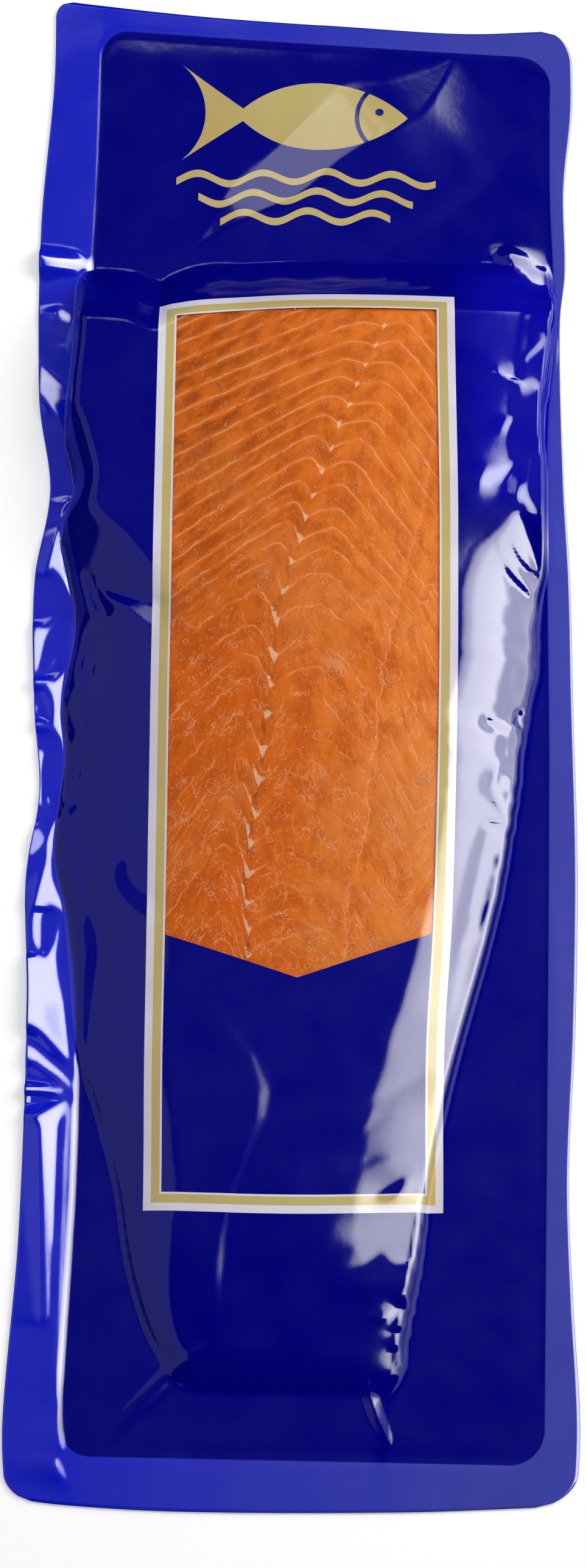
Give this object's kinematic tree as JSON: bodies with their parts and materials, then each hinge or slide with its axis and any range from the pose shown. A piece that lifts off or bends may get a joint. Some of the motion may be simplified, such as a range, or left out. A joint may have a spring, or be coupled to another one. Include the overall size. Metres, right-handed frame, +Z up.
{
  "type": "pack of smoked salmon",
  "caption": "Long flat vacuum pouch of printed film holding a whole side of smoked salmon, with a clear window over the flesh.",
  "frame": {"origin": "middle of the pouch's footprint, on the surface it lies on", "axes": "+X across the pouch, +Y along it towards the thick end of the fish, +Z up out of the window side"},
  "size_m": [0.2186, 0.6017, 0.0273],
  "materials": {
    "printed_film": "glossy dark blue print on film, with a silver and gold frame",
    "clear_film": "clear glossy film drawn tight by the vacuum",
    "smoked_salmon": "moist orange flesh with pale bands"
  },
  "bodies": {
    "root": {"pouch": "printed_film", "window_film": "clear_film", "salmon_side": "smoked_salmon"}
  },
  "joints": []
}
